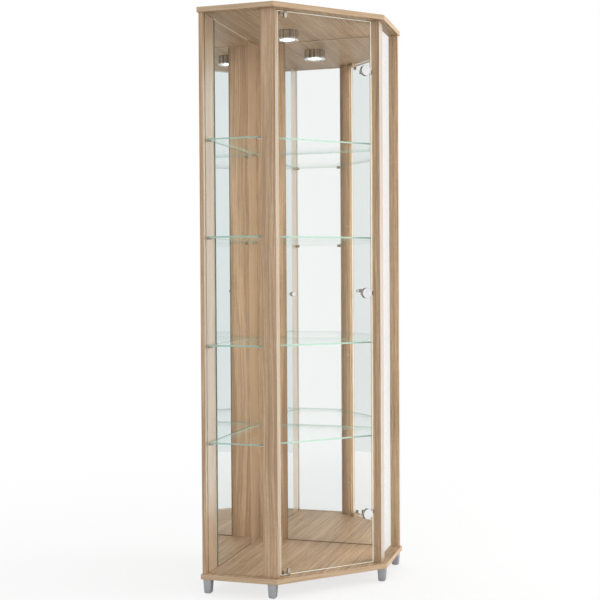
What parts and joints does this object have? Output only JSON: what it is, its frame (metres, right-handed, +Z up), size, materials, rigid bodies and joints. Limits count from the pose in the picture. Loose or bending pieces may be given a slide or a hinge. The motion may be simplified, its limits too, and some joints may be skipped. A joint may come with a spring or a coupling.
{
  "type": "corner curio cabinet",
  "caption": "Five-sided corner display cabinet with a frameless glass door, side panes, mirrored back, glass shelves and a ceiling lamp.",
  "frame": {"origin": "on the floor, under the middle of the panels", "axes": "+Z up; +Y towards the room corner that the cabinet stands in; the door faces -Y; +X to the right of someone facing the door"},
  "size_m": [0.7072, 0.5198, 1.72],
  "materials": {
    "panel_oak": "light oak decor, satin",
    "board_oak": "light oak decor, satin, upright grain",
    "post_oak": "light oak decor, satin, upright grain",
    "silver_foot": "silver-grey satin",
    "mirror_glass": "silvered float glass",
    "clear_glass": "clear float glass, polished edges",
    "shelf_glass": "clear float glass, green polished edges",
    "nickel": "nickel-plated steel",
    "chrome": "polished chrome",
    "lamp_lens": "frosted light diffuser",
    "lamp_board": "white circuit board",
    "catch_plastic": "light plastic",
    "magnet_steel": "bare steel face",
    "grommet_rubber": "black rubber",
    "screw_steel": "zinc-plated steel"
  },
  "bodies": {
    "cabinet": {"base_panel": "panel_oak", "bottom_catch": "catch_plastic", "bottom_catch_magnet": "magnet_steel", "cable_grommet": "grommet_rubber", "catch_screws": "screw_steel", "corner_screws": "screw_steel", "door_stop_batten": "post_oak", "foot_back": "silver_foot", "foot_front_left": "silver_foot", "foot_front_right": "silver_foot", "foot_left": "silver_foot", "foot_right": "silver_foot", "foot_studs": "screw_steel", "front_left_post": "post_oak", "front_right_post": "post_oak", "glass_shelf_1": "shelf_glass", "glass_shelf_2": "shelf_glass", "glass_shelf_3": "shelf_glass", "glass_shelf_4": "shelf_glass", "hinge_arm_1": "chrome", "hinge_arm_2": "chrome", "hinge_arm_3": "chrome", "hinge_arm_screws": "screw_steel", "lamp_bezel": "chrome", "lamp_board": "lamp_board", "lamp_housing": "chrome", "lamp_lens": "lamp_lens", "lamp_screws": "screw_steel", "left_back_board": "board_oak", "left_mirror": "mirror_glass", "left_side_glass": "clear_glass", "panel_screws": "screw_steel", "right_back_board": "board_oak", "right_mirror": "mirror_glass", "right_side_glass": "clear_glass", "shelf_pins": "nickel", "stop_screws": "screw_steel", "top_catch": "catch_plastic", "top_catch_magnet": "magnet_steel", "top_panel": "panel_oak"},
    "door": {"bottom_strike": "nickel", "door_glass": "clear_glass", "door_knob": "chrome", "hinge_cap_1": "chrome", "hinge_cap_2": "chrome", "hinge_cap_3": "chrome", "hinge_cap_screws": "screw_steel", "hinge_cup_1": "chrome", "hinge_cup_2": "chrome", "hinge_cup_3": "chrome", "hinge_pins": "nickel", "knob_screw": "screw_steel", "top_strike": "nickel"}
  },
  "joints": [
    {"name": "door_hinge", "type": "hinge", "parent": "cabinet", "child": "door", "pos_m": [0.14202, -0.22236, 0.8815], "axis": [0, 0, 1], "range_deg": [0, 95]}
  ]
}
